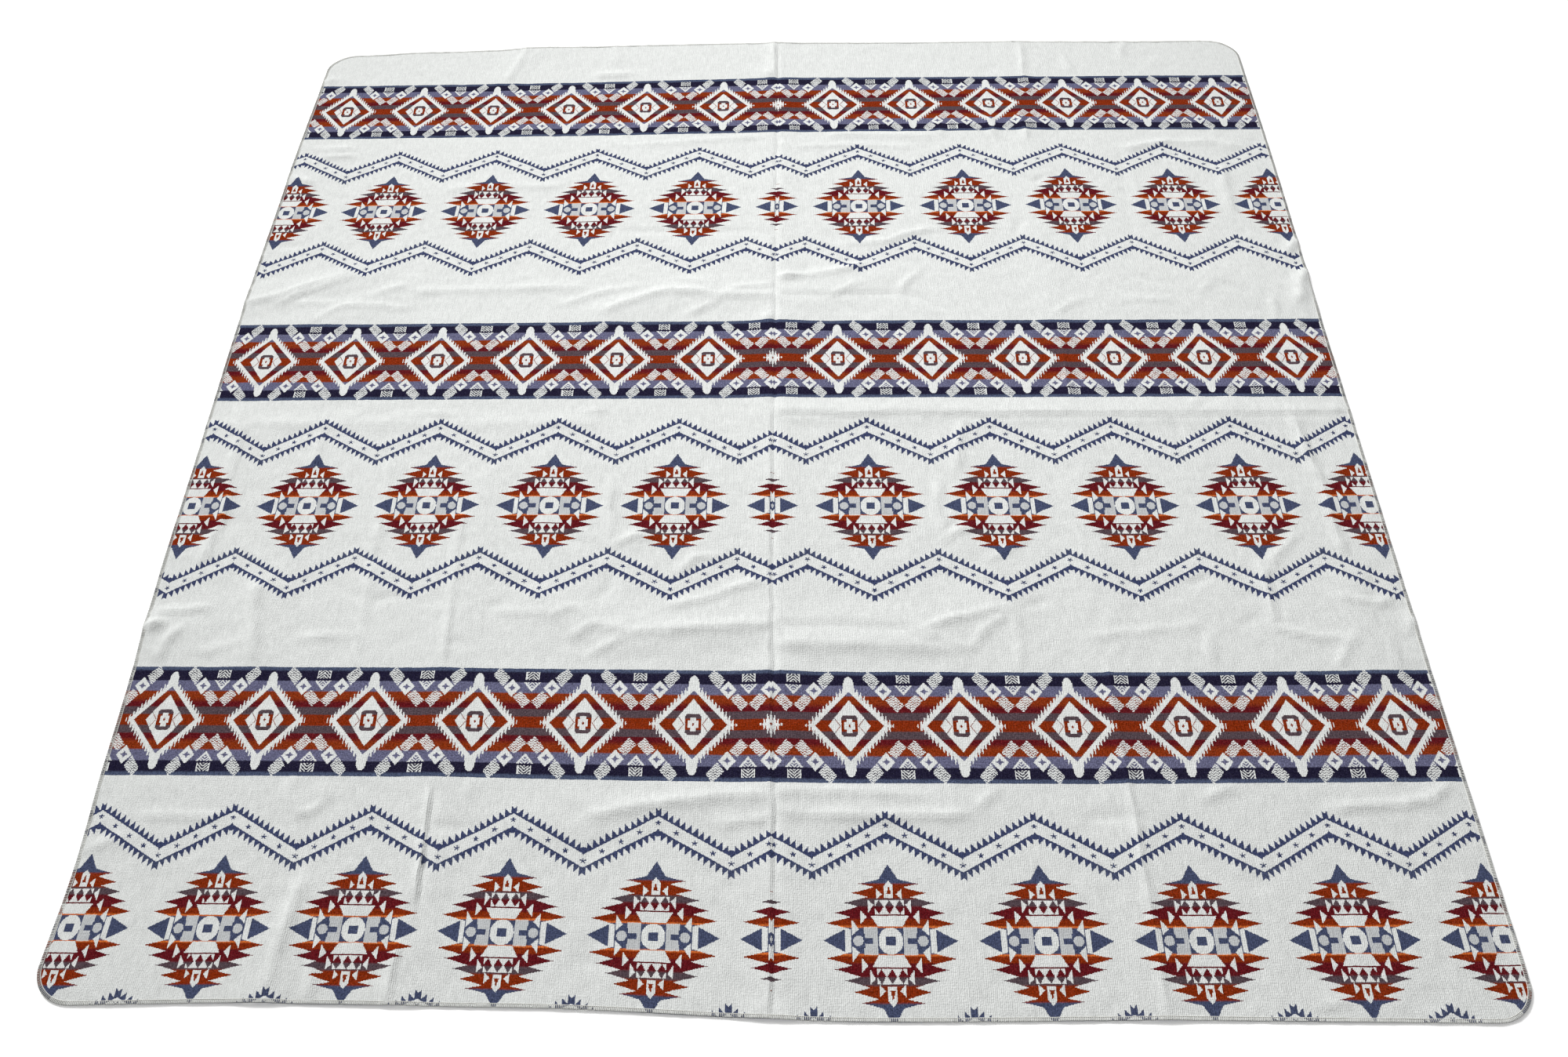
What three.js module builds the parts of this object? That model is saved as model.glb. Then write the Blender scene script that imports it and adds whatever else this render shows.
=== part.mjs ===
// A wool blanket laid open on a flat floor, as one closed sheet of cloth.
// Millimetres, +Z up, the underside at Z = 0, the near edge towards -Y.
// The cloth is drawn flat first, in two cloth measures: across from the left
// edge and down from the far edge. It is then placed where it lies.
import * as THREE from "three";

// Driving sizes of the flat cloth
const WIDTH = 2050;
const LENGTH = 2300;
const THICKNESS = 2.5;
const CORNER_RADIUS = 58;

// Creases left by folding it in quarters across and in half down
const LEFT_QUARTER = 503;
const MIDDLE = 1014;
const RIGHT_QUARTER = 1546;
const HALF_WAY = 1145;

// Cells of the mesh
const CELLS_PER_QUARTER = 11;
const CELLS_PER_HALF = 22;
const CELLS_PER_CORNER = 4;

// Where its corners lie on the floor: it was spread by hand, a little askew
const CORNERS = {
  farLeft: { x: -1030, y: 1129 },
  farRight: { x: 1019, y: 1175 },
  nearRight: { x: 1025, y: -1163 },
  nearLeft: { x: -1025, y: -1141 },
};

// How far each edge bows out of the straight line between its corners.
// "along" is the share of the edge from the left or far end, "out" is in mm.
const FAR_EDGE = [
  { along: 0.0, out: 0 },
  { along: 0.12, out: 12 },
  { along: 0.27, out: 25 },
  { along: 0.46, out: 29 },
  { along: 0.68, out: 21 },
  { along: 0.95, out: 11 },
  { along: 1.0, out: 4 },
];
const NEAR_EDGE = [
  { along: 0.0, out: 0 },
  { along: 0.15, out: -7 },
  { along: 0.32, out: -5 },
  { along: 0.55, out: 9 },
  { along: 0.8, out: 1 },
  { along: 1.0, out: 0 },
];
const LEFT_EDGE = [
  { along: 0.0, out: 1 },
  { along: 0.2, out: 11 },
  { along: 0.37, out: 15 },
  { along: 0.63, out: 10 },
  { along: 0.82, out: 0 },
  { along: 0.91, out: -6 },
  { along: 1.0, out: 0 },
];
const RIGHT_EDGE = [
  { along: 0.0, out: 0 },
  { along: 0.18, out: 2 },
  { along: 0.45, out: -2 },
  { along: 0.75, out: -4 },
  { along: 1.0, out: -3 },
];

// How far into the cloth a bow is felt
const END_BOW_DEPTH = 200;
const SIDE_BOW_DEPTH = 450;

// The main folds: soft ridges that stand off the floor between two points of
// the cloth. "rise" is the height of the crest, "reach" how far it slopes away.
const FOLDS = [
  { across1: MIDDLE, down1: 0, across2: MIDDLE, down2: 780, rise: 5, reach: 55 },
  { across1: MIDDLE, down1: 900, across2: MIDDLE, down2: 1150, rise: 11, reach: 80 },
  { across1: MIDDLE, down1: 1200, across2: MIDDLE, down2: 1700, rise: 6, reach: 60 },
  { across1: MIDDLE, down1: 1740, across2: MIDDLE, down2: 1960, rise: 11, reach: 75 },
  { across1: MIDDLE, down1: 2000, across2: MIDDLE, down2: 2300, rise: 6, reach: 55 },
  { across1: LEFT_QUARTER, down1: 0, across2: LEFT_QUARTER, down2: 420, rise: 3, reach: 55 },
  { across1: LEFT_QUARTER, down1: 1320, across2: LEFT_QUARTER, down2: 2300, rise: 5, reach: 60 },
  { across1: RIGHT_QUARTER, down1: 0, across2: RIGHT_QUARTER, down2: 940, rise: 4, reach: 55 },
  { across1: RIGHT_QUARTER, down1: 1180, across2: RIGHT_QUARTER, down2: 2300, rise: 5, reach: 60 },
  { across1: MIDDLE, down1: HALF_WAY, across2: 1830, down2: HALF_WAY, rise: 6, reach: 60 },
  { across1: 460, down1: 0, across2: 408, down2: 110, rise: 7, reach: 60 },
  { across1: 0, down1: 845, across2: 230, down2: 765, rise: 7, reach: 60 },
  { across1: 150, down1: 897, across2: 310, down2: 805, rise: 5, reach: 60 },
  { across1: 690, down1: 885, across2: 860, down2: 828, rise: 9, reach: 70 },
  { across1: 860, down1: 828, across2: MIDDLE, down2: 848, rise: 8, reach: 65 },
  { across1: 1029, down1: 850, across2: 1219, down2: 793, rise: 9, reach: 70 },
  { across1: 1219, down1: 793, across2: 1300, down2: 897, rise: 5, reach: 60 },
  { across1: 1874, down1: 793, across2: 2024, down2: 874, rise: 6, reach: 65 },
  { across1: 63, down1: 1219, across2: 63, down2: 1380, rise: 5, reach: 60 },
  { across1: 1334, down1: 1219, across2: 1334, down2: 1460, rise: 5, reach: 55 },
  { across1: 0, down1: 1650, across2: 52, down2: 1660, rise: 8, reach: 70 },
  { across1: 186, down1: 1564, across2: 186, down2: 1719, rise: 5, reach: 60 },
  { across1: 638, down1: 1598, across2: 782, down2: 1656, rise: 8, reach: 65 },
  { across1: 782, down1: 1656, across2: MIDDLE, down2: 1639, rise: 10, reach: 70 },
  { across1: 1023, down1: 1656, across2: 1242, down2: 1650, rise: 10, reach: 70 },
  { across1: 1242, down1: 1650, across2: 1391, down2: 1598, rise: 7, reach: 65 },
  { across1: 1960, down1: 1560, across2: 1960, down2: 1725, rise: 5, reach: 60 },
  { across1: 644, down1: 2012, across2: 989, down2: 1961, rise: 6, reach: 60 },
  { across1: 1040, down1: 1965, across2: 1265, down2: 1985, rise: 5, reach: 60 },
  { across1: 356, down1: 2128, across2: 316, down2: 2300, rise: 6, reach: 60 },
];

const CLOTH_COLOUR = 0xdedfda;

// A smooth value between the rows of an edge's table
function bow(edge, along) {
  const next = edge.findIndex((row) => row.along >= along);
  if (next <= 0) return edge[0].out;
  const low = edge[next - 1];
  const high = edge[next];
  const share = (along - low.along) / (high.along - low.along);
  return THREE.MathUtils.lerp(low.out, high.out, share * share * (3 - 2 * share));
}

// Where a point of the flat cloth lies on the floor
function place(across, down) {
  const right = across / WIDTH;
  const near = down / LENGTH;
  const mix = (key) => {
    const far = THREE.MathUtils.lerp(CORNERS.farLeft[key], CORNERS.farRight[key], right);
    const close = THREE.MathUtils.lerp(CORNERS.nearLeft[key], CORNERS.nearRight[key], right);
    return THREE.MathUtils.lerp(far, close, near);
  };
  const x = mix("x")
    - bow(LEFT_EDGE, near) * Math.exp(-across / SIDE_BOW_DEPTH)
    + bow(RIGHT_EDGE, near) * Math.exp((across - WIDTH) / SIDE_BOW_DEPTH);
  const y = mix("y")
    + bow(FAR_EDGE, right) * Math.exp(-down / END_BOW_DEPTH)
    - bow(NEAR_EDGE, right) * Math.exp((down - LENGTH) / END_BOW_DEPTH);
  return { x, y };
}

// Height of one fold at a point, nothing at all past its reach
function foldHeight(fold, across, down) {
  const runAcross = fold.across2 - fold.across1;
  const runDown = fold.down2 - fold.down1;
  const along = ((across - fold.across1) * runAcross + (down - fold.down1) * runDown)
    / (runAcross ** 2 + runDown ** 2);
  const held = THREE.MathUtils.clamp(along, 0, 1);
  const away = Math.hypot(
    across - fold.across1 - held * runAcross,
    down - fold.down1 - held * runDown,
  );
  const slope = Math.max(0, 1 - (away / fold.reach) ** 2);
  return fold.rise * slope ** 2;
}

// Folds that meet blend into each other instead of adding up
function height(across, down) {
  const cubes = FOLDS.map((fold) => foldHeight(fold, across, down) ** 3);
  return Math.cbrt(cubes.reduce((sum, cube) => sum + cube, 0));
}

// Even steps from one mark to the next
function evenSteps(from, to, cells) {
  return Array.from({ length: cells }, (_, i) => THREE.MathUtils.lerp(from, to, i / cells));
}

function columnLines() {
  const marks = [0, LEFT_QUARTER, MIDDLE, RIGHT_QUARTER, WIDTH];
  const steps = marks.slice(1).flatMap((mark, i) => evenSteps(marks[i], mark, CELLS_PER_QUARTER));
  return [...steps, WIDTH];
}

// Rows close up in the corners, so that the round corners have even sides
function rowLines() {
  const corner = evenSteps(0, Math.PI / 2, CELLS_PER_CORNER)
    .map((angle) => CORNER_RADIUS * (1 - Math.cos(angle)));
  return [
    ...corner,
    ...evenSteps(CORNER_RADIUS, HALF_WAY, CELLS_PER_HALF),
    ...evenSteps(HALF_WAY, LENGTH - CORNER_RADIUS, CELLS_PER_HALF),
    LENGTH - CORNER_RADIUS,
    ...corner.map((depth) => LENGTH - depth).reverse(),
  ];
}

// How far a row's ends are drawn in by the round corners
function cornerInset(down) {
  const depth = Math.min(down, LENGTH - down);
  if (depth >= CORNER_RADIUS) return 0;
  return CORNER_RADIUS - Math.sqrt(CORNER_RADIUS ** 2 - (CORNER_RADIUS - depth) ** 2);
}

// A closed sheet: two faces, the upper one a thickness above the lower, and a rim
function sheetGeometry() {
  const columns = columnLines();
  const rows = rowLines();
  const points = rows.flatMap((down) => {
    const inset = cornerInset(down);
    return columns.map((line) => {
      const across = inset + line * (1 - 2 * inset / WIDTH);
      return { ...place(across, down), z: height(across, down) };
    });
  });
  const upper = points.flatMap((p) => [p.x, p.y, p.z + THICKNESS]);
  const lower = points.flatMap((p) => [p.x, p.y, p.z]);
  const wide = columns.length;
  const below = points.length;
  const index = [];
  for (let row = 0; row < rows.length - 1; row += 1) {
    for (let column = 0; column < wide - 1; column += 1) {
      const a = row * wide + column;
      const b = a + 1;
      const c = a + wide;
      const d = c + 1;
      index.push(a, c, d, a, d, b);
      index.push(below + a, below + d, below + c, below + a, below + b, below + d);
    }
  }
  const rim = rimLoop(wide, rows.length);
  rim.forEach((from, i) => {
    const to = rim[(i + 1) % rim.length];
    index.push(from, below + from, below + to, from, below + to, to);
  });
  const geometry = new THREE.BufferGeometry();
  geometry.setAttribute("position", new THREE.Float32BufferAttribute([...upper, ...lower], 3));
  geometry.setIndex(index);
  return geometry;
}

// The points round the edge, from the far left corner down the left side
function rimLoop(wide, tall) {
  const across = Array.from({ length: wide - 1 }, (_, i) => i);
  const down = Array.from({ length: tall - 1 }, (_, i) => i);
  const last = wide * (tall - 1);
  return [
    ...down.map((i) => i * wide),
    ...across.map((i) => last + i),
    ...down.map((i) => last + wide - 1 - i * wide),
    ...across.map((i) => wide - 1 - i),
  ];
}

// The part's own origin is under the middle of its outline
function centred(geometry) {
  geometry.computeBoundingBox();
  const middle = geometry.boundingBox.getCenter(new THREE.Vector3());
  geometry.translate(-middle.x, -middle.y, -geometry.boundingBox.min.z);
  geometry.computeVertexNormals();
  return geometry;
}

const wool = new THREE.MeshStandardMaterial({ color: CLOTH_COLOUR, roughness: 0.95, metalness: 0 });
const blanket = new THREE.Mesh(centred(sheetGeometry()), wool);
blanket.name = "blanket";

const model = new THREE.Group();
model.add(blanket);

export default model;
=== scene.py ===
"""A wool blanket laid open on a pale floor: its woven cloth, its overlocked edge and a studio stage.

Lengths in the tables are millimetres on the flat cloth, "across" from its left edge and "down" from
its far edge. Everything that is built is in metres, in the part's own frame.
"""
import math

import bmesh
import bpy
import numpy as np
from bpy.props import FloatProperty, FloatVectorProperty, IntProperty, PointerProperty
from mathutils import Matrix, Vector, noise


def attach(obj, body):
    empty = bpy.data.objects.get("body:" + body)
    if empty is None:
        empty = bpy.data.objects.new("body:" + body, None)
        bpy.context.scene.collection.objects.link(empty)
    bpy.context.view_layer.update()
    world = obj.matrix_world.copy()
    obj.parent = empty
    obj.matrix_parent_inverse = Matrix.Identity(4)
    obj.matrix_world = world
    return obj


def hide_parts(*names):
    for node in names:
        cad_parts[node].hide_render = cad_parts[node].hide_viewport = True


bl_info = {
    "name": "Wool blanket",
    "version": (1, 0, 0),
    "blender": (4, 5, 0),
    "location": "View3D > Sidebar > Blanket",
    "description": "Builds a jacquard wool blanket, its overlocked edge and a studio stage",
    "category": "Add Mesh",
}

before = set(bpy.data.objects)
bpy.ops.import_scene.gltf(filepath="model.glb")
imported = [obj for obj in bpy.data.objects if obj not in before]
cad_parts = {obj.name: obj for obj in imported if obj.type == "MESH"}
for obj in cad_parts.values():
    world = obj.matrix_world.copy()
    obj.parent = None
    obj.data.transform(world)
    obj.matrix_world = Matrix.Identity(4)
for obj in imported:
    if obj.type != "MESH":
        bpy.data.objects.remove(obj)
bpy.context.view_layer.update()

MM = 0.001

# Where the cloth's corners lie on the floor, before they are rounded
CORNERS = {
    "far_left": (-1030, 1129),
    "far_right": (1019, 1175),
    "near_right": (1025, -1163),
    "near_left": (-1025, -1141),
}

# How far each edge bows outwards: the share along it, from the left or far end, and millimetres
FAR_EDGE = ((0.0, 0), (0.12, 12), (0.27, 25), (0.46, 29), (0.68, 21), (0.95, 11), (1.0, 4))
NEAR_EDGE = ((0.0, 0), (0.15, -7), (0.32, -5), (0.55, 9), (0.8, 1), (1.0, 0))
LEFT_EDGE = ((0.0, 1), (0.2, 11), (0.37, 15), (0.63, 10), (0.82, 0), (0.91, -6), (1.0, 0))
RIGHT_EDGE = ((0.0, 0), (0.18, 2), (0.45, -2), (0.75, -4), (1.0, -3))
END_BOW_DEPTH = 60
SIDE_BOW_DEPTH = 450

# Where the cloth was folded for storage: the long creases, and the one across its right half
LEFT_QUARTER = 503
MIDDLE = 1014
RIGHT_QUARTER = 1546
HALF_WAY = 1145

# The part's own broad folds: across one, down one, across two, down two, rise, reach
FOLDS = (
    (MIDDLE, 0, MIDDLE, 780, 5, 55),
    (MIDDLE, 900, MIDDLE, 1150, 11, 80),
    (MIDDLE, 1200, MIDDLE, 1700, 6, 60),
    (MIDDLE, 1740, MIDDLE, 1960, 11, 75),
    (MIDDLE, 2000, MIDDLE, 2300, 6, 55),
    (LEFT_QUARTER, 0, LEFT_QUARTER, 420, 3, 55),
    (LEFT_QUARTER, 1320, LEFT_QUARTER, 2300, 5, 60),
    (RIGHT_QUARTER, 0, RIGHT_QUARTER, 940, 4, 55),
    (RIGHT_QUARTER, 1180, RIGHT_QUARTER, 2300, 5, 60),
    (MIDDLE, HALF_WAY, 1830, HALF_WAY, 6, 60),
    (460, 0, 408, 110, 7, 60),
    (0, 845, 230, 765, 7, 60),
    (150, 897, 310, 805, 5, 60),
    (690, 885, 860, 828, 9, 70),
    (860, 828, MIDDLE, 848, 8, 65),
    (1029, 850, 1219, 793, 9, 70),
    (1219, 793, 1300, 897, 5, 60),
    (1874, 793, 2024, 874, 6, 65),
    (63, 1219, 63, 1380, 5, 60),
    (1334, 1219, 1334, 1460, 5, 55),
    (0, 1650, 52, 1660, 8, 70),
    (186, 1564, 186, 1719, 5, 60),
    (638, 1598, 782, 1656, 8, 65),
    (782, 1656, MIDDLE, 1639, 10, 70),
    (1023, 1656, 1242, 1650, 10, 70),
    (1242, 1650, 1391, 1598, 7, 65),
    (1960, 1560, 1960, 1725, 5, 60),
    (644, 2012, 989, 1961, 6, 60),
    (1040, 1965, 1265, 1985, 5, 60),
    (356, 2128, 316, 2300, 6, 60),
)

# The sharper creases that run in and between them: rise, reach, then the places that each runs through.
# One that sinks instead has a rise below nothing.
CREASES = (
    (3.5, 22, (1003, 0), (1003, 112)),
    (-2.0, 9, (1012, 0), (1011, 120), (1012, 300)),
    (-1.8, 8, (1011, 300), (1011, 780), (1012, 1150)),
    (-1.9, 8, (1012, 1150), (1011, 1550), (1014, 1760)),
    (1.2, 14, (1004, 1150), (1004, 1760)),
    (-2.0, 8, (1014, 1760), (1017, 2000), (1017, 2300)),
    (1.5, 14, (1008, 1760), (1010, 2300)),
    (5.6, 26, (975, 98), (1003, 101)),
    (4.2, 20, (985, 905), (1010, 908)),
    (3.0, 14, (437, 0), (426, 60), (412, 112)),
    (3.8, 20, (604, 96), (684, 96)),
    (4.5, 26, (0, 96), (34, 98)),
    (2.6, 12, (1650, 54), (1667, 113)),
    (2.6, 12, (1795, 0), (1781, 64)),
    (1.8, 13, (640, 0), (652, 70)),
    (3.0, 18, (1460, 215), (1468, 270), (1474, 338)),
    (2.4, 16, (1354, 260), (1362, 345)),
    (2.9, 17, (1532, 240), (1546, 352)),
    (2.6, 16, (28, 352), (120, 353)),
    (2.6, 12, (50, 384), (130, 379)),
    (3.0, 20, (0, 452), (62, 470)),
    (2.2, 20, (330, 497), (470, 492), (574, 494)),
    (-2.0, 11, (700, 641), (800, 642), (1025, 650)),
    (-2.9, 11, (25, 678), (72, 678)),
    (1.8, 13, (637, 331), (687, 354), (800, 347), (906, 334), (1000, 329)),
    (2.0, 13, (1112, 328), (1230, 329), (1342, 334)),
    (2.0, 13, (1050, 366), (1180, 364), (1300, 370)),
    (2.8, 17, (1740, 386), (1790, 373), (1850, 366), (1930, 368), (1992, 386)),
    (-1.1, 14, (1737, 390), (1728, 560), (1722, 680)),
    (2.6, 22, (1944, 440), (1934, 520), (1938, 600)),
    (2.9, 13, (1150, 686), (1237, 679), (1269, 660), (1337, 641)),
    (-2.0, 11, (1487, 669), (1506, 619)),
    (-2.0, 11, (1540, 500), (1569, 475)),
    (4.2, 20, (2050, 687), (2019, 731)),
    (2.8, 18, (0, 852), (56, 834), (94, 809), (190, 762)),
    (2.7, 11, (57, 861), (81, 837), (144, 802), (196, 770)),
    (2.0, 11, (94, 852), (169, 851)),
    (2.6, 11, (134, 905), (187, 859), (250, 857), (312, 871)),
    (2.2, 11, (234, 831), (269, 812), (300, 802)),
    (2.4, 20, (320, 819), (430, 817), (520, 813), (645, 812)),
    (2.8, 15, (600, 865), (653, 837), (694, 821), (757, 811)),
    (4.2, 20, (681, 885), (725, 857), (775, 832), (806, 824), (875, 833), (900, 842), (1010, 840)),
    (3.0, 12, (844, 894), (894, 859), (919, 834), (937, 818), (1010, 808)),
    (2.0, 11, (806, 786), (870, 798), (905, 812)),
    (1.4, 10, (744, 768), (760, 790)),
    (4.5, 17, (1014, 789), (1087, 779), (1137, 768), (1192, 748)),
    (-2.7, 11, (1016, 841), (1116, 844), (1250, 837)),
    (2.9, 11, (1114, 846), (1141, 824), (1176, 803)),
    (-2.6, 11, (1117, 847), (1150, 874), (1184, 897)),
    (3.0, 11, (1251, 834), (1266, 802), (1295, 766)),
    (-2.9, 11, (1254, 837), (1300, 859), (1338, 890)),
    (1.8, 11, (1544, 897), (1587, 865), (1619, 852)),
    (2.2, 11, (1672, 873), (1712, 855), (1778, 868)),
    (-1.8, 11, (1700, 790), (1740, 800), (1778, 823)),
    (2.2, 11, (1835, 840), (1862, 811)),
    (-2.2, 11, (1860, 810), (1900, 827), (1934, 847)),
    (2.6, 11, (1966, 855), (1968, 912)),
    (6.5, 26, (2018, 875), (2030, 820), (2050, 772)),
    (3.2, 44, (1012, 1159), (1180, 1160), (1350, 1163), (1700, 1165), (2050, 1162)),
    (-1.8, 10, (1014, 1168), (1350, 1173), (1700, 1175), (2050, 1172)),
    (1.8, 34, (0, 1182), (200, 1183), (375, 1179), (700, 1182)),
    (2.2, 14, (345, 1158), (455, 1159)),
    (2.7, 12, (674, 1152), (712, 1152)),
    (3.6, 11, (47, 1139), (69, 1195), (66, 1270), (69, 1326), (78, 1401), (66, 1470), (61, 1512)),
    (-1.8, 11, (112, 1407), (131, 1445), (176, 1497)),
    (2.9, 12, (206, 1205), (210, 1292)),
    (2.0, 10, (240, 1146), (244, 1178), (275, 1152)),
    (4.3, 19, (162, 1552), (178, 1657), (187, 1722)),
    (2.2, 9, (342, 1270), (345, 1495), (350, 1722)),
    (2.0, 11, (482, 1400), (486, 1560), (490, 1722)),
    (-2.7, 11, (353, 1601), (375, 1586), (408, 1582)),
    (-1.8, 11, (287, 1557), (344, 1590)),
    (-2.6, 11, (552, 1603), (582, 1591)),
    (2.2, 11, (562, 1614), (650, 1616)),
    (2.7, 12, (644, 1630), (675, 1611), (696, 1608), (719, 1638)),
    (2.9, 13, (684, 1671), (719, 1639), (781, 1657)),
    (3.4, 22, (778, 1656), (880, 1650), (1014, 1638)),
    (2.9, 12, (720, 1700), (781, 1658)),
    (-2.7, 11, (719, 1590), (744, 1564), (750, 1520)),
    (2.9, 15, (835, 1606), (925, 1576), (956, 1561), (1010, 1549)),
    (2.7, 11, (854, 1535), (881, 1500), (925, 1494)),
    (2.8, 15, (742, 1472), (781, 1448), (815, 1458)),
    (-2.2, 11, (675, 1456), (706, 1470), (738, 1497)),
    (2.8, 10, (728, 1326), (734, 1420), (741, 1462)),
    (3.2, 14, (10, 1614), (62, 1613), (96, 1604)),
    (3.8, 15, (34, 1722), (44, 1672), (60, 1640)),
    (7.0, 24, (0, 1648), (32, 1637)),
    (-1.8, 11, (494, 1676), (534, 1690)),
    (2.0, 11, (250, 1670), (334, 1664)),
    (1.4, 10, (81, 1689), (106, 1698), (169, 1676)),
    (3.0, 12, (1356, 1172), (1338, 1226), (1331, 1305)),
    (3.4, 11, (1298, 1328), (1291, 1401), (1298, 1452)),
    (2.7, 11, (1292, 1472), (1318, 1443), (1358, 1430)),
    (-2.6, 11, (1302, 1444), (1326, 1424)),
    (2.2, 12, (1362, 1505), (1400, 1488), (1440, 1450)),
    (2.9, 11, (1754, 1160), (1786, 1124)),
    (-2.0, 12, (1722, 1150), (1738, 1245)),
    (3.8, 11, (1944, 1145), (1950, 1257), (1962, 1326), (1962, 1451), (1970, 1497)),
    (3.0, 11, (1893, 1449), (1844, 1507), (1822, 1560)),
    (3.0, 12, (1824, 1503), (1823, 1575), (1823, 1642)),
    (-1.8, 9, (1833, 1505), (1832, 1642)),
    (-2.7, 11, (1762, 1646), (1802, 1619)),
    (2.6, 11, (1798, 1641), (1831, 1651), (1894, 1664), (1951, 1670)),
    (3.0, 11, (1951, 1653), (1925, 1689), (1905, 1722)),
    (2.9, 11, (1996, 1655), (2003, 1722)),
    (3.0, 11, (1929, 1581), (1962, 1589), (2000, 1598), (2028, 1580)),
    (4.5, 18, (2034, 1650), (2050, 1622)),
    (-2.7, 11, (1698, 1558), (1734, 1544)),
    (1.5, 13, (1498, 1672), (1556, 1660), (1702, 1640)),
    (-2.1, 12, (1016, 1641), (1120, 1645), (1240, 1650)),
    (2.6, 30, (1016, 1678), (1160, 1683), (1331, 1686)),
    (2.7, 11, (1246, 1652), (1306, 1626), (1402, 1603)),
    (3.0, 11, (1247, 1654), (1290, 1672), (1331, 1687), (1350, 1651), (1396, 1619)),
    (2.7, 11, (1406, 1618), (1402, 1722)),
    (2.6, 11, (1709, 1655), (1710, 1722)),
    (-2.2, 11, (1423, 1602), (1464, 1588)),
    (2.6, 11, (291, 1929), (289, 1962), (312, 1998), (338, 1986), (347, 1972), (341, 1942)),
    (3.4, 10, (499, 1950), (502, 2044), (505, 2140)),
    (-2.6, 9, (506, 1950), (509, 2044), (512, 2140)),
    (3.4, 11, (492, 2205), (490, 2296)),
    (3.6, 14, (338, 2100), (329, 2175), (318, 2282)),
    (3.5, 11, (381, 2208), (380, 2294)),
    (2.0, 11, (553, 1930), (563, 1978)),
    (3.3, 22, (736, 1995), (812, 1980), (937, 1960), (1014, 1957)),
    (2.4, 14, (920, 2010), (970, 2004), (1014, 2002)),
    (-2.2, 11, (700, 1975), (738, 2001)),
    (3.2, 17, (8, 2062), (60, 2034)),
    (2.0, 11, (75, 1999), (204, 2000)),
    (-2.0, 11, (500, 2015), (578, 2018)),
    (-1.8, 14, (735, 2222), (792, 2236)),
    (2.4, 15, (1016, 1953), (1100, 1951), (1252, 1957)),
    (2.9, 14, (1018, 1988), (1112, 1993), (1231, 1994), (1302, 1989)),
    (2.9, 11, (1314, 1980), (1348, 1945)),
    (-1.8, 13, (1480, 1996), (1552, 1990)),
    (2.6, 12, (1648, 1964), (1702, 1936)),
    (2.8, 13, (1837, 1973), (1931, 1969), (1987, 1959), (2028, 1932)),
    (2.9, 13, (1752, 2284), (1802, 2274)),
    (-1.8, 14, (1680, 2090), (1720, 2100)),
    (1.8, 14, (1465, 1380), (1500, 1440)),
    (1.8, 11, (1560, 0), (1556, 180)),
    (1.8, 12, (1548, 960), (1550, 1120)),
    (1.8, 12, (1540, 1720), (1546, 2000), (1548, 2296)),
)

# The sharp creases catch most of the light, so the broad folds keep only this share of their rise
FOLD_SHARE = 0.3

# Creases wander a little off their straight lines, their crests rise and fall, and they fade at their ends
CREASE_WANDER = 3.5
CREASE_WAVE = 45
CREST_ROUND = 1.2
CREST_RISE = 1.2
CREST_UNEVEN = 0.6
CREST_WAVE = 60
CREASE_ENDS = 18
CREASE_END_SHARE = 0.25

# The mesh is drawn in to the creases from this far, so that their crests stay sharp
CREASE_DRAW = 7.5

# The cloth never lies quite flat on the floor: one slow waver, and one like crumpled paper
LOFT = 0.3
WAVER = 0.45
WAVER_WAVE = 110
CRUMPLE = 1.5
CRUMPLE_WAVE = 31
CRUMPLE_LEVEL = 0.35

# How far a crease can press the cloth thinner: it gives way more slowly from the first depth on
PRESSED_FROM = 0.8
PRESSED_MOST = 1.8

# Mesh rows in each round corner, and how much closer the columns stand at the long creases
CORNER_ROWS = 9
CROWDING = 1.6
CROWD_REACH = 13
COLUMN_SAMPLES = 1025

# Points a side that the outline is measured by and that the sewing follows
OUTLINE_STEPS = 400
SEWING_STEPS = 450

# How the weave lies across the cloth: its mirror line, and how its repeats draw in towards the edges
MIRROR_LINE = 1009
TAKE_UP = 1.035
EDGE_DRAW = 3.44e-8
LEAN = 1.45e-5
WOVEN_REACH = 1100
WOVEN_STEPS = 441

# Handling has pulled the weave a little out of true, across and down. Each row is a place down the cloth,
# then the pull there at the left side, at the three long creases and at the right side.
PULLED_ACROSS = (
    (0, 3, 6, 0, -6, -2),
    (400, 9, 8, 6, -2, -3),
    (900, 1, 0, -2, -2, 0),
    (1550, 6, 3, 1, 0, -1),
    (1750, 0, 1, 0, -1, -1),
    (2300, 11, 14, 4, -3, 0),
)
PULLED_DOWN = (
    (0, 16, 19, 11, 16, 24),
    (120, 8, 12, 4, 11, 16),
    (400, -1, -2, -5, -3, 7),
    (900, -5, -5, -6, -2, 0),
    (1400, 2, 1, 4, 6, 4),
    (1700, -1, 0, 5, 7, 0),
    (1950, -1, -1, 7, 5, -3),
    (2300, -6, -7, 1, -3, -12),
)

# Repeats of the pattern. Both motifs are mirrored at the middle, part of the way into a repeat.
MIRROR_SKIP = 49.3
ROW_PITCH = 807.6
BAND_ROW = 213.9
MEDALLION_ROW = 573.1
DIAMOND_REPEAT = 166.2
MEDALLION_REPEAT = 211.9

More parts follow.
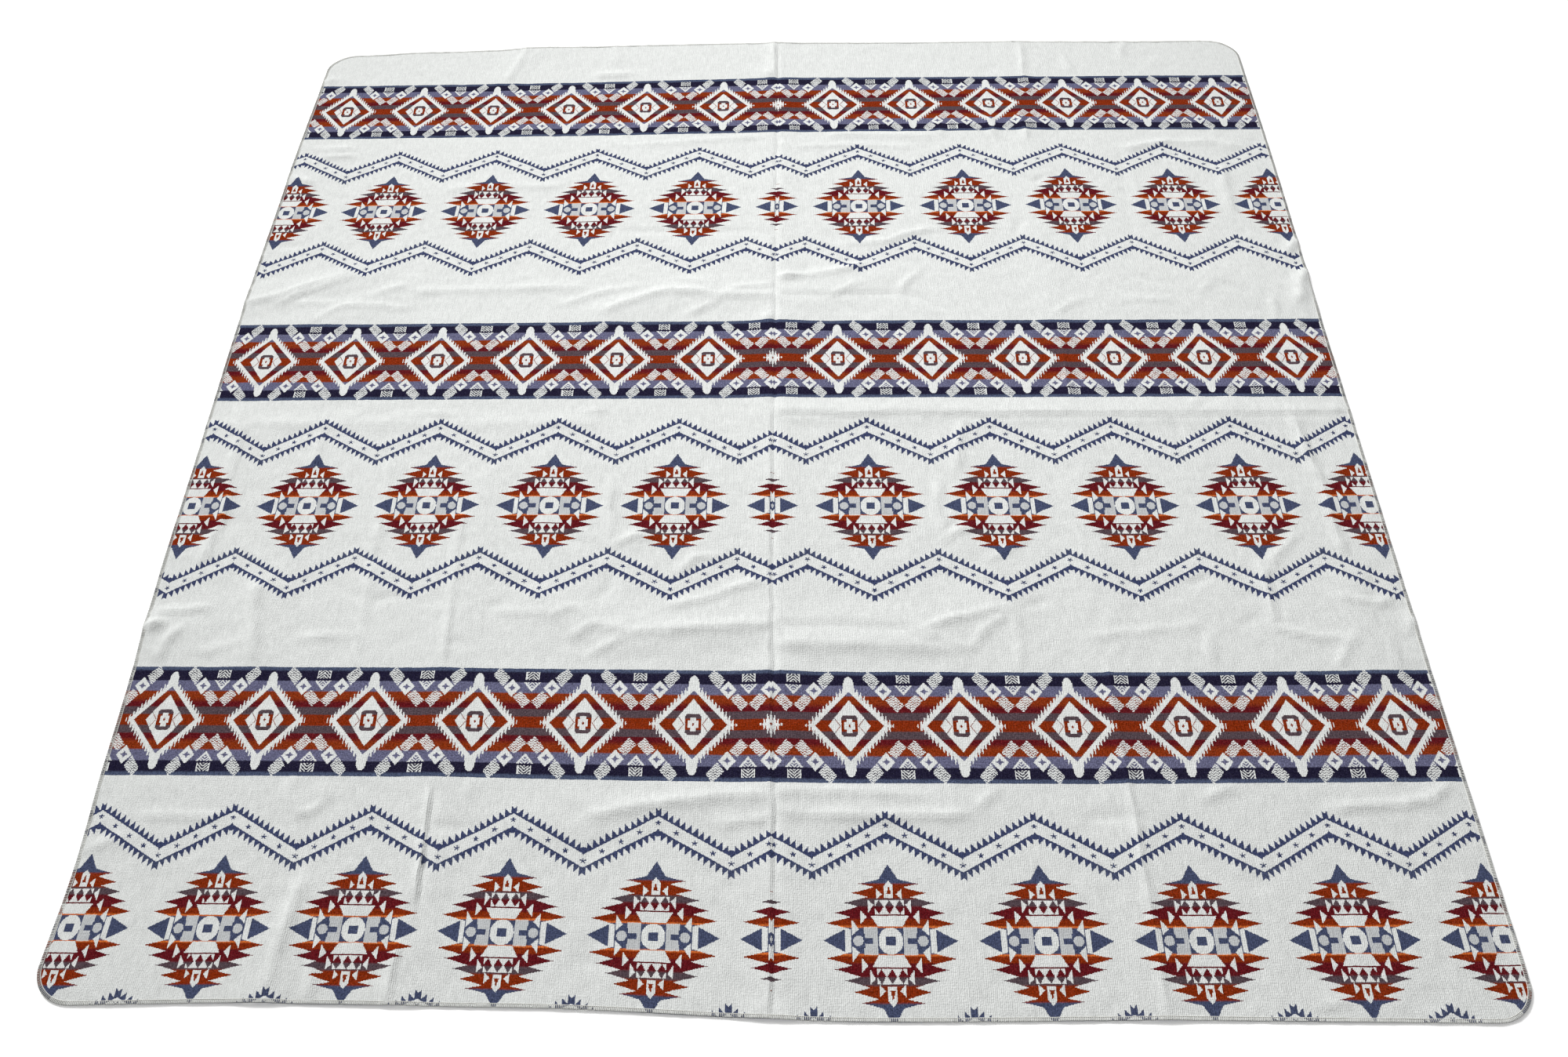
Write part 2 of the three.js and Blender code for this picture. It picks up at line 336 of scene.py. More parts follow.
# The bands: half their height, and the weft colours outwards from their middle.
# Each row gives where the colour ends and over how many millimetres it changes.
BAND_HALF = 102
BAND_WEFTS = (
    ("rust", 10.6, 0.3),
    ("grey", 24.5, 0.3),
    ("maroon", 37, 4.5),
    ("orange", 55, 0.3),
    ("lavender", 75, 0.3),
    ("navy", 95, 1.5),
    ("edge_slate", BAND_HALF, 0.3),
)
MEDALLION_WEFTS = (
    ("slate", 19.3, 0.3),
    ("ember", 22.5, 0.8),
    ("rust", 33, 1.2),
    ("maroon", 53, 1.2),
    ("grey", 65, 0.8),
    ("rust", 89, 1.0),
    ("slate", 122, 0.5),
    ("zigzag", 220, 0.5),
)

# How far yarns wander from their lines, and how often to the millimetre
YARN_WANDER = 1.1
YARN_WANDERS = 0.22

# How much weft shows where the two yarns mix, and how much of the other yarn peeps through elsewhere,
# at the crossings whose chance is past the first number
MIXED_SHARE = 0.3
PEEPS_FROM = 0.75
PEEP_SHARE = 0.02

# The weft's speckles, partly its uneven tone and partly painted shade of the weave's crossings: how many to
# the millimetre, how dark the darkest is, and how much lighter the noise and then the chance of each
# crossing make it
SPECKLES = 0.38
SPECKLE_DARKEST = 0.2
SPECKLE_RANGE = 1.2
CROSSING_RANGE = 0.4

# A diamond's outline and its teeth
DIAMOND_SLOPE = 1.225
DIAMOND_HALF = 72
TOOTH_PITCH = 5.2
TOOTH_SLOPE = 5

# Between the diamonds: the ribbons' hatching, the star in the square and the chevrons' bars
HATCH_PITCH = 4.6
HATCH_SHARE = 0.68
HATCH_ZIGZAG = 3.2
STAR_ACROSS = 31
STAR_DOWN = 64.3
STAR_REACH = 6.8
STAR_WAIST = 1.1
CHEVRON_PITCH = 5.4
CHEVRON_BAR = 2.9

# The pointed rows of a medallion: where the tip is, the level of its middle, its base and half height
SPIKES = (
    (90, 26.5, 53, 9.8),
    (77, 42.5, 42.5, 10.2),
    (64, 58, 32, 9.2),
    (53.5, 73.8, 19, 9.8),
    (43, 88.6, 13, 7.2),
)
SPIKE_POWER = 1.2

# The row of small lozenges up in a medallion: half their pitch, their slope, level, reach and row's end
LOZENGE_HALF_PITCH = 7.2
LOZENGE_SLOPE = 1.75
LOZENGE_LEVEL = 52
LOZENGE_REACH = 11.2
LOZENGES_END = 21

# White shapes let into a medallion: the blades behind its spikes, then the panels up its middle
BLADES = (
    ((52.5, 8), (52.5, 32), (43, 17.5)),
    ((40.5, 25), (40.5, 47), (32, 37)),
    ((30, 41.5), (30, 63.5), (22, 55.5)),
    ((17, 64), (17, 80), (9.8, 72)),
    ((0, 0), (37, 0), (37, 20.8), (0, 20.8)),
    ((0, 21.6), (17, 21.6), (26.2, 38.8), (0, 38.8)),
    ((0, 41), (19.8, 41), (19.8, 62.5), (0, 62.5)),
    ((0, 66), (6, 66), (6, 86), (0, 94)),
)

# The toothed zigzag round each row of medallions
ZIGZAG_PEAK = 196.5
ZIGZAG_SLOPE = 0.615
ZIGZAG_GAP = 25.5
ZIGZAG_LINE = 1.7
ZIGZAG_TOOTH_PITCH = 8.83
ZIGZAG_TOOTH_HEIGHT = 15
ZIGZAG_START = 4.2
ZIGZAG_START_HEIGHT = 6
BUD_HALF = 7
BUD_LEVEL = 3

# The small stars between its two lines: how many to a repeat, their points, and how far those reach
SMALL_STARS = 8
SMALL_STAR_POINTS = 5
SMALL_STAR_ARM = 3.2
SMALL_STAR_DEPTH = 1.5

# The wool's surface, counted to the metre: ribs and rows drift from true every 13 mm, by these radians,
# slubs are streaks of 2.4 by 28 mm along the warp, and clouds of shade are 10 mm wide. Wool's hairs are
# too fine to show, so the nap is drawn as tufts 3 mm across.
DRIFTS = 75
DRIFT_TURNS = (8, 6, 0)
NAP_TUFTS = 330
SLUBS = (420, 36, 0)
CLOUDS = 95

# How high ribs, rows and nap stand beside each other, and what each part gives to the shade. Ribs, rows and
# nap give painted shade, darker where they stand lower; slubs and clouds give the wool's uneven tone.
RIBS_AND_ROWS = (0.5, 0.15, 0)
NAP_HEIGHT = 2.2
DEEPEST_SHADE = 0.67
RIB_PAINTED_SHADE = 0.025
NAP_PAINTED_SHADE = 0.26
SLUB_SHADE = 0.24
CLOUD_SHADE = 0.16
YARN_RELIEF = 0.0004

# Counted to the metre: the patches of dyed ends at the cut edge, the sewing thread's fuzz, which is
# drawn 1 mm coarse so that it shows, and the floor paper's mottle
EDGE_PATCHES = 5
THREAD_FUZZ = 900
THREAD_RELIEF = 0.0002
FLOOR_MOTTLE = 3

# One overlock stitch seen along the edge: in from the edge and up from the cloth's middle
STITCH_LOOP = ((5.0, 1.15), (3.8, 1.6), (0.5, 1.6), (-0.5, 0.5), (-0.4, -0.6), (3.5, -0.85))
STITCH_SLANT = 0.8
NEEDLE_LINE = (4.8, 1.4)

# The camera, in metres and degrees, from the photo's perspective
CAMERA_PLACE = (0.0350, -2.1098, 2.0992)
CAMERA_TURN = (40.855, 0.383, 0.299)
CAMERA_LENS = 37.53

# The stage: the sun stands for a broad window, and the lamp for a softbox over the far end.
# Metres and degrees. The floor lies just under the cloth, so that the two never share a plane.
WINDOW_TURN = (-56, 0, 35)
WINDOW_SOFTNESS = 14
SOFTBOX_PLACE = (-0.2, 0.78, 2.2)
SOFTBOX_AIM = (0.15, -0.3, -2.2)
SOFTBOX_SIDE = 2.0
FLOOR_DROP = 0.0004


def linear(hex_colour):
    """An sRGB hex colour as linear red, green and blue."""
    parts = [int(hex_colour[i:i + 2], 16) / 255 for i in (1, 3, 5)]
    return tuple(c / 12.92 if c <= 0.04045 else ((c + 0.055) / 1.055) ** 2.4 for c in parts)


def length_of(name, description, default):
    """A length in metres that the panel shows."""
    return FloatProperty(name=name, description=description, default=default, unit="LENGTH", precision=4)


def colour_of(name, description, hex_colour):
    """A colour that the panel shows."""
    return FloatVectorProperty(
        name=name, description=description, default=linear(hex_colour), subtype="COLOR", min=0, max=1
    )


class BlanketSizes(bpy.types.PropertyGroup):
    """Sizes of the cloth and of its sewn edge."""

    width: length_of("Width", "Flat width of the cloth", 2.05)
    length: length_of("Length", "Flat length of the cloth", 2.30)
    thickness: length_of("Thickness", "Thickness of the double cloth", 0.0025)
    corner_radius: length_of("Corner radius", "Radius of the round corners", 0.058)
    columns: IntProperty(name="Columns", description="Mesh columns of the face", default=260)
    rows: IntProperty(name="Rows", description="Mesh rows of the face", default=290)
    end: length_of("End", "Spacing of the warp threads", 0.00135)
    pick: length_of("Pick", "Height of one woven row", 0.0011)
    stitch: length_of("Stitch", "Spacing of the overlock stitches", 0.0025)
    thread: length_of("Thread", "Thickness of the sewing thread", 0.0012)


class BlanketColours(bpy.types.PropertyGroup):
    """Colours of the yarns."""

    ground: colour_of("Ground", "Undyed white wool", "#D6D8D6")
    rust: colour_of("Rust", "Rust weft", "#7C2A0D")
    orange: colour_of("Orange", "Orange rust weft of the bands", "#7F3012")
    maroon: colour_of("Maroon", "Maroon weft", "#5B151B")
    grey: colour_of("Grey", "Warm grey weft", "#504248")
    slate: colour_of("Slate", "Slate blue weft of the medallions", "#424963")
    lavender: colour_of("Lavender", "Lavender slate weft of the bands", "#61617B")
    navy: colour_of("Navy", "Dark navy weft", "#1F1C31")
    edge_slate: colour_of("Edge slate", "Slate weft at the bands' edges", "#464F67")
    zigzag: colour_of("Zigzag", "Dark slate weft of the zigzags", "#3A4160")
    ember: colour_of("Ember", "Bright orange weft beside the medallions' panels", "#C9692F")
    thread: colour_of("Thread", "Overlock thread", "#D6D6D1")


class StageLook(bpy.types.PropertyGroup):
    """The studio round the blanket."""

    floor: colour_of("Floor", "Matt paper floor", "#F7F7F6")
    floor_size: length_of("Floor size", "Side of the floor", 80.0)
    sky: FloatProperty(name="Sky", description="Brightness of the even white room", default=0.16)
    window: FloatProperty(name="Window", description="Strength of the light from the far left", default=3.45)
    softbox: FloatProperty(name="Softbox", description="Watts of the lamp over the far end", default=32)


def smooth_between(rows, share):
    """Values between a table's rows, level at each row."""
    at, out = np.array(rows, float).T
    upper = np.clip(np.searchsorted(at, share), 1, len(at) - 1)
    lower = upper - 1
    part = np.clip((share - at[lower]) / (at[upper] - at[lower]), 0, 1)
    return out[lower] + (out[upper] - out[lower]) * part * part * (3 - 2 * part)


def place(across, down, width, length):
    """Where points of the flat cloth lie on the floor, before the outline is centred."""
    right, near = across / width, down / length
    far = np.outer(1 - right, CORNERS["far_left"]) + np.outer(right, CORNERS["far_right"])
    close = np.outer(1 - right, CORNERS["near_left"]) + np.outer(right, CORNERS["near_right"])
    spot = far * (1 - near)[:, None] + close * near[:, None]
    spot[:, 0] -= smooth_between(LEFT_EDGE, near) * np.exp(-across / SIDE_BOW_DEPTH)
    spot[:, 0] += smooth_between(RIGHT_EDGE, near) * np.exp((across - width) / SIDE_BOW_DEPTH)
    spot[:, 1] += smooth_between(FAR_EDGE, right) * np.exp(-down / END_BOW_DEPTH)
    spot[:, 1] -= smooth_between(NEAR_EDGE, right) * np.exp((down - length) / END_BOW_DEPTH)
    return spot


def wander(across, down, wave, seed):
    """Smooth noise over the cloth, from -1 to 1."""
    return np.array([noise.noise((x, y, seed)) for x, y in zip(across / wave, down / wave)])


def broad_folds(across, down):
    """The height that each broad fold gives each point, nothing past the fold's reach."""
    heights = []
    for across1, down1, across2, down2, rise, reach in FOLDS:
        run = np.array((across2 - across1, down2 - down1), float)
        off = np.stack((across - across1, down - down1), axis=1)
        along = np.clip(off @ run / (run @ run), 0, 1)
        away = np.hypot(*(off - along[:, None] * run).T)
        heights.append(FOLD_SHARE * rise * np.clip(1 - (away / reach) ** 2, 0, None) ** 2)
    return np.cbrt((np.array(heights) ** 3).sum(axis=0))


def nearest_on(places, spots):
    """The way from each spot to a line through places, how long it is, and how far that is from an end."""
    best = np.full(len(spots), np.inf)
    way = np.zeros_like(spots)
    passed = np.zeros(len(spots))
    lengths = [math.dist(*pair) for pair in zip(places, places[1:])]
    for index, (first, second) in enumerate(zip(places, places[1:])):
        run = np.subtract(second, first).astype(float)
        along = np.clip((spots - first) @ run / (run @ run), 0, 1)
        off = first + along[:, None] * run - spots
        away = np.hypot(*off.T)
        closer = away < best
        best[closer] = away[closer]
        way[closer] = off[closer]
        passed[closer] = (sum(lengths[:index]) + along * lengths[index])[closer]
    return way, best, np.minimum(passed, sum(lengths) - passed)


def creased(across, down):
    """How high the sharp creases stand at each point, and the way from it to the nearest crest."""
    spots = np.stack((across, down), axis=1)
    spots[:, 0] += CREASE_WANDER * wander(across, down, CREASE_WAVE, 1.5)
    spots[:, 1] += CREASE_WANDER * wander(across, down, CREASE_WAVE, 7.5)
    ridges = np.zeros(len(spots))
    troughs = np.zeros(len(spots))
    nearest = np.full(len(spots), np.inf)
    draw = np.zeros_like(spots)
    for rise, reach, *places in CREASES:
        low, high = np.min(places, axis=0) - reach, np.max(places, axis=0) + reach
        near = np.flatnonzero(((spots > low) & (spots < high)).all(axis=1))
        way, away, to_end = nearest_on(places, spots[near])
        rounded = np.hypot(away, CREST_ROUND) - CREST_ROUND
        height = rise * np.clip(1 - rounded / reach, 0, None) ** 2
        height *= CREASE_END_SHARE + (1 - CREASE_END_SHARE) * np.clip(to_end / CREASE_ENDS, 0, 1)
        ridges[near] = np.maximum(ridges[near], height)
        troughs[near] = np.minimum(troughs[near], height)
        closer = away < nearest[near]
        nearest[near[closer]] = away[closer]
        draw[near[closer]] = way[closer]
    return ridges + troughs, draw, nearest


def cloth_height(across, down):
    """How far the cloth stands off the floor, and how far its broad folds alone would lift it.

    The first is less than nothing where a crease presses the cloth thinner.
    """
    uneven = CREST_RISE + CREST_UNEVEN * wander(across, down, CREST_WAVE, 3.5)
    waver = WAVER * wander(across, down, WAVER_WAVE, 5.5)
    crumple = CRUMPLE * (CRUMPLE_LEVEL - np.abs(wander(across, down, CRUMPLE_WAVE, 9.5)))
    fine = LOFT + creased(across, down)[0] * uneven + waver + crumple
    past = np.clip(-PRESSED_FROM - fine, 0, None)
    spare = PRESSED_MOST - PRESSED_FROM
    fine += past - spare * (1 - np.exp(-past / spare))
    folds = broad_folds(across, down)
    return folds + fine, folds + LOFT


def row_place(share, rows, length, radius):
    """Turns an even share of the rows into a place down the cloth, closer together in the corners."""
    end = CORNER_ROWS / rows
    depth = np.minimum(share, 1 - share)
    in_corner = radius * (1 - np.cos(np.pi / 2 * np.clip(depth / end, 0, 1)))
    past = np.clip((depth - end) / (0.5 - end), 0, 1) * (length / 2 - radius)
    return np.where(share > 0.5, length - in_corner - past, in_corner + past)


def column_place(share, width):
    """Turns an even share of the columns into a place across, closer together at the long creases."""
    across = np.linspace(0, width, COLUMN_SAMPLES)
    density = np.ones(across.size)
    for crease in (LEFT_QUARTER, MIDDLE, RIGHT_QUARTER):
        density += CROWDING * np.exp(-((across - crease) / CROWD_REACH) ** 2)
    passed = np.cumsum(density) - density[0]
    return np.interp(share, passed / passed[-1], across)


def corner_inset(down, length, radius):
    """How far the round corners draw in the ends of a row."""
    depth = np.clip(radius - np.minimum(down, length - down), 0, None)
    return radius - np.sqrt(radius ** 2 - depth ** 2)


def off_edge(grid, sizes):
    """Which points of a square grid, -1 to 1 each way, aren't on its edge."""
    return np.abs(grid).max(axis=1) < 1 - 1 / sizes.columns


def lay_out(grid, sizes):
    """Lays a square grid out as the cloth: across, down, and the x and y before they are centred."""
    width, length, radius = (size / MM for size in (sizes.width, sizes.length, sizes.corner_radius))
    down = row_place((1 - grid[:, 1]) / 2, sizes.rows, length, radius)
    inset = corner_inset(down, length, radius)
    across = inset + column_place((grid[:, 0] + 1) / 2, width) * (1 - 2 * inset / width)
    _, draw, away = creased(across, down)
    draw = draw * (np.clip(1 - away / CREASE_DRAW, 0, None) * off_edge(grid, sizes))[:, None]
    across, down = across + draw[:, 0], down + draw[:, 1]
    return across, down, place(across, down, width, length)


def edge_grid(steps):
    """Points round the grid's edge, anticlockwise from its near left corner."""
    side = np.linspace(-1, 1, steps, endpoint=False)
    end = np.ones(steps)
    rounds = ((side, -end), (end, side), (-side, end), (-end, -side))
    return np.concatenate([np.stack(run, axis=1) for run in rounds])


def pulled(table, across, down, width):
    """How far one of the tables of the weave's pulls moves it at each point."""
    places, *columns = zip(*table)
    lines = (0, LEFT_QUARTER, MIDDLE, RIGHT_QUARTER, width)
    shares = np.array([np.interp(across, lines, line) for line in np.eye(len(lines))])
    pulls = np.array([np.interp(down, places, column) for column in columns])
    return (shares * pulls).sum(axis=0)


def cloth_points(grid, sizes, creases=True):
    """Where the grid's points lie, centred, and their places in the weave, all in metres.

    Without creases, only the points on the edge keep them.
    """
    edge = lay_out(edge_grid(OUTLINE_STEPS), sizes)[2]
    across, down, spot = lay_out(grid, sizes)
    spot = spot - (edge.min(axis=0) + edge.max(axis=0)) / 2
    height, folds = cloth_height(across, down)
    if not creases:
        inside = off_edge(grid, sizes)
        height[inside] = folds[inside]
    points = np.column_stack((spot, height)) * MM
    pull_across = pulled(PULLED_ACROSS, across, down, sizes.width / MM)
    pull_down = pulled(PULLED_DOWN, across, down, sizes.width / MM)
    woven = np.linspace(-WOVEN_REACH, WOVEN_REACH, WOVEN_STEPS)
    lies = MIRROR_LINE + TAKE_UP * woven - EDGE_DRAW * woven ** 3 + LEAN * woven ** 2
    weave = np.column_stack((np.interp(across - pull_across, lies, woven), down - pull_down)) * MM
    return points, weave


def cloth_mesh(sizes):
    """The blanket as one closed mesh: its face, its reverse a thickness below, and the rim between.

    The reverse has half as many rows and columns, because nothing shows there but the broad folds.
    """
    bm = bmesh.new()
    weave = []
    sides = []
    for coarse in (1, 2):
        made = bmesh.ops.create_grid(
            bm, x_segments=sizes.columns // coarse, y_segments=sizes.rows // coarse, size=1
        )["verts"]
        points, woven = cloth_points(np.array([vert.co.xy for vert in made]), sizes, creases=coarse == 1)
        for vert, point in zip(made, points):
            vert.co = point
        weave.extend(woven)
        sides.append(made)
    face, reverse = sides
    bmesh.ops.translate(bm, verts=face, vec=(0, 0, sizes.thickness))
    for vert in reverse:
        vert.co.z = max(vert.co.z, 0)
    edges = [edge for edge in bm.edges if edge.is_boundary]
    face_count = sizes.columns * sizes.rows
    for index, polygon in enumerate(bm.faces):
        polygon.material_index = 0 if index < face_count else 1
    rim = bmesh.ops.bridge_loops(bm, edges=edges)["faces"]
    for polygon in rim:
        polygon.material_index = 2
    for edge in edges:
        edge.smooth = False
    for polygon in bm.faces:
        polygon.smooth = True
    bmesh.ops.recalc_face_normals(bm, faces=bm.faces)
    bm.verts.index_update()
    uv_layer = bm.loops.layers.uv.new("Weave")
    for polygon in bm.faces:
        for loop in polygon.loops:
            loop[uv_layer].uv = weave[loop.vert.index]
    mesh = bpy.data.meshes.new("cloth")
    bm.to_mesh(mesh)
    bm.free()
    return mesh


def add_object(name, data, *materials):
    """Links a new object at the origin and gives it its materials."""
    made = bpy.data.objects.new(name, data)
    bpy.context.collection.objects.link(made)
    for material in materials:
        data.materials.append(material)
    return made


def polyline(name, runs, cyclic=False):
    """A curve object of straight runs between points in metres."""
    curve = bpy.data.curves.new(name, "CURVE")
    curve.dimensions = "3D"
    curve.twist_mode = "Z_UP"
    for run in runs:
        spline = curve.splines.new("POLY")
        spline.points.add(len(run) - 1)
        for point, spot in zip(spline.points, run):
            point.co = (*spot, 1)
        spline.use_cyclic_u = cyclic
    return add_object(name, curve)


def finished_mesh(piece, name):
    """A plain mesh of what a piece and its modifiers make."""
    evaluated = piece.evaluated_get(bpy.context.evaluated_depsgraph_get())
    mesh = bpy.data.meshes.new_from_object(evaluated)
    mesh.name = name
    return mesh


def overlock_mesh(sizes):
    """Overlock stitches all round, each a loop of thread over the edge and a stitch of the needle line."""
    points, _ = cloth_points(edge_grid(SEWING_STEPS), sizes)
    points[:, 2] = np.clip(points[:, 2], 0, None) + sizes.thickness / 2
    path = polyline("edge_path", [points], cyclic=True)
    around = np.linalg.norm(points - np.roll(points, 1, axis=0), axis=1).sum()
    count = round(around / sizes.stitch)
    pitch = around / count
    slant = np.linspace(0, STITCH_SLANT, len(STITCH_LOOP))
    loop = [(lean * MM, y * MM, z * MM) for lean, (y, z) in zip(slant, STITCH_LOOP)]
    needle_in, needle_up = NEEDLE_LINE
    needle = [(x, needle_in * MM, needle_up * MM) for x in (0, pitch)]
    thread = polyline("thread", [loop, needle])
    thread.data.bevel_depth = sizes.thread / 2
    thread.data.bevel_resolution = 0
    thread.data.use_fill_caps = True
    stitch = add_object("stitch", finished_mesh(thread, "stitch"))
    row = stitch.modifiers.new("row", "ARRAY")
    row.count = count
    row.use_relative_offset = False
    row.use_constant_offset = True
    row.constant_offset_displace = (pitch, 0, 0)
    bend = stitch.modifiers.new("round the edge", "CURVE")
    bend.object = path
    mesh = finished_mesh(stitch, "overlock")
    for helper in (path, thread, stitch):
        bpy.data.objects.remove(helper)
    return mesh


def add(tree, kind, *values, sockets=None, **settings):
    """Adds a node and returns its first output. Values fill its inputs in order, as links or constants."""
    node = tree.nodes.new(kind if kind.startswith("Node") else "ShaderNode" + kind)
    for name, setting in settings.items():
        setattr(node, name, setting)
    inputs = [socket for socket in node.inputs if socket.enabled]
    named = [(node.inputs[name], value) for name, value in (sockets or {}).items()]
    for socket, value in [*zip(inputs, values), *named]:
        if isinstance(value, bpy.types.NodeSocket):
            tree.links.new(value, socket)
        else:
            socket.default_value = value
    return next((socket for socket in node.outputs if socket.enabled), None)


def lay(tree, first, *others):
    """Lays coloured figures together. A figure is above zero where it shows the weft."""
    for other in others:
        first = add(tree, "Math", first, other, operation="MAXIMUM")
    return first


def cut(tree, first, *others):
    """Keeps what all the figures share, which lets bare shapes into the first."""
    for other in others:
        first = add(tree, "Math", first, other, operation="MINIMUM")
    return first


def patch(tree, cell, *corners, bare=False):
    """A straight-sided figure, above zero inside it, or outside it if it is bare.

    Corners are millimetres from the middle of the motif. Sides on the motif's mirror lines are left out,
    because the figure goes on past them.
    """
    pairs = list(zip(corners, corners[1:] + corners[:1]))
    turn = sum(x1 * y2 - x2 * y1 for (x1, y1), (x2, y2) in pairs)
    sign = math.copysign(1, turn) * (-1 if bare else 1)
    sides = []
    for (x1, y1), (x2, y2) in pairs:
        if x1 == x2 == 0 or y1 == y2 == 0:
            continue
        scale = sign / math.hypot(x2 - x1, y2 - y1)
        across, down = (y1 - y2) * scale, (x2 - x1) * scale
        line = (across, down, -across * x1 - down * y1)
        sides.append(add(tree, "VectorMath", cell, line, operation="DOT_PRODUCT"))
    return lay(tree, *sides) if bare else cut(tree, *sides)


def oval(tree, cell, centre, half, bare=False):
    """An oval figure, above zero inside it, or outside it if it is bare."""
    stretch = (1 / half[0], 1 / half[1], 0)
    move = (-centre[0] / half[0], -centre[1] / half[1], 0)
    spot = add(tree, "VectorMath", cell, stretch, move, operation="MULTIPLY_ADD")
    away = add(tree, "VectorMath", spot, operation="LENGTH")
    ends = (away, 1) if bare else (1, away)
    return add(tree, "Math", *ends, operation="SUBTRACT")


def away_from(tree, value, level):
    """How far a measure is from a level."""
    return add(tree, "Math", add(tree, "Math", value, level, operation="SUBTRACT"), operation="ABSOLUTE")


def weft_colours(tree, distance, wefts, colours):
    """The weft's colour by distance from the middle of a row of motifs."""
    reach = ROW_PITCH / 2
    share = add(tree, "Math", distance, reach, operation="DIVIDE")
    ramp = add(tree, "ValToRGB", share).node
    stops = ramp.color_ramp.elements
    first, last = (getattr(colours, wefts[end][0]) for end in (0, -1))
    stops[0].color = (*first, 1)
    stops[1].color = (*last, 1)
    for (name, end, change), (following, _, _) in zip(wefts, wefts[1:]):
        for colour, at in ((name, end - change), (following, end + change)):
            stops.new(at / reach).color = (*getattr(colours, colour), 1)
    return ramp.outputs[0]


def diamond_figures(tree, cell, x):
    """A band's diamond: a serrated white frame with pointed ends, a coloured ring, and a cross within."""
    outline = (DIAMOND_SLOPE, 1, -DIAMOND_HALF)
    side = add(tree, "VectorMath", cell, outline, operation="DOT_PRODUCT")
    tooth = add(tree, "Math", x, TOOTH_PITCH / 2, operation="PINGPONG")
    frame_line = add(tree, "Math", tooth, -TOOTH_SLOPE, side, operation="MULTIPLY_ADD")
    figure = cut(tree, frame_line, oval(tree, cell, (0, 75), (7.8, 16.5), bare=True))
    figure = lay(tree, figure, patch(tree, cell, (0, 0), (51.5, 0), (0, 63)))
    figure = cut(tree, figure, patch(tree, cell, (0, 0), (31.2, 0), (22, 15), (0, 47.2), bare=True))
    thin_line = patch(tree, cell, (13.2, 0), (14.5, 0), (23.4, 14), (22.1, 14))
    ring = patch(tree, cell, (0, 0), (12.5, 0), (12.5, 15), (8.6, 19.3), (0, 19.3))
    figure = lay(tree, figure, thin_line, ring)
    figure = cut(
        tree, figure,
        patch(tree, cell, (0, 0), (7.6, 0), (7.6, 6.6), (0, 6.6), bare=True),
        patch(tree, cell, (0, 0), (4.5, 0), (4.5, 12.5), (0, 12.5), bare=True),
    )
    return lay(tree, figure, patch(tree, cell, (0, 0), (2, 0), (0, 3.5)))


def ribbon_figures(tree, cell, x, y, figure):
    """What lies between a band's diamonds: hatched ribbons, a square with a star, and small chevrons."""
    upper = patch(tree, cell, (52.9, 103.7), (62.1, 89), (45.4, 66), (35.4, 84.5))
    lower = patch(tree, cell, (16.6, 58.2), (28.4, 48), (11.5, 25), (0.2, 38.8))
    hatched = lay(tree, upper, lower)
    figure = cut(tree, figure, add(tree, "Math", hatched, -1, operation="MULTIPLY"))
    zigzag = add(tree, "Math", x, HATCH_ZIGZAG, operation="PINGPONG")
    zigzag = add(tree, "Math", zigzag, y, operation="ADD")
    stripe = add(tree, "Math", zigzag, HATCH_PITCH, operation="WRAP", sockets={2: 0})
    stripe = add(tree, "Math", stripe, HATCH_PITCH * HATCH_SHARE, operation="SUBTRACT")
    square = patch(tree, cell, (30.8, 81), (44, 65), (31.2, 47.3), (18.1, 64.6), bare=True)
    star_x = away_from(tree, x, STAR_ACROSS)
    star_y = away_from(tree, y, STAR_DOWN)
    star_sum = add(tree, "Math", star_x, star_y, operation="ADD")
    waist = add(tree, "Math", star_x, star_y, operation="MINIMUM")
    star = add(tree, "Math", waist, STAR_WAIST, star_sum, operation="MULTIPLY_ADD")
    star = add(tree, "Math", STAR_REACH, star, operation="SUBTRACT")
    figure = lay(tree, cut(tree, figure, square), star, cut(tree, hatched, stripe))
    figure = cut(
        tree, figure,
        patch(tree, cell, (0, 57), (13.5, 75.5), (0, 75.5), bare=True),
        patch(tree, cell, (0, 79), (10.5, 79), (10.5, 94.5), (0, 94.5), bare=True),
    )
    chevron = add(tree, "Math", x, y, operation="ADD")
    chevron = add(tree, "Math", chevron, CHEVRON_PITCH, operation="WRAP", sockets={2: 0})
    chevron = cut(
        tree,
        add(tree, "Math", CHEVRON_BAR, chevron, operation="SUBTRACT"),
        patch(tree, cell, (0, 62), (9, 74), (9, 94.5), (0, 94.5)),
    )
    return lay(tree, figure, chevron)


def spike(tree, x, y, tip, level, base, half):
    """One pointed row of a medallion: needle-thin at its tip, and full from its base inwards."""
    ends = {"From Min": base, "From Max": tip, "To Min": 1.0, "To Max": 0.0}
    fullness = add(tree, "MapRange", x, sockets=ends)
    slope = add(tree, "Math", fullness, SPIKE_POWER, operation="POWER")
    off = away_from(tree, y, level)
    return add(tree, "Math", add(tree, "Math", slope, half, operation="MULTIPLY"), off, operation="SUBTRACT")


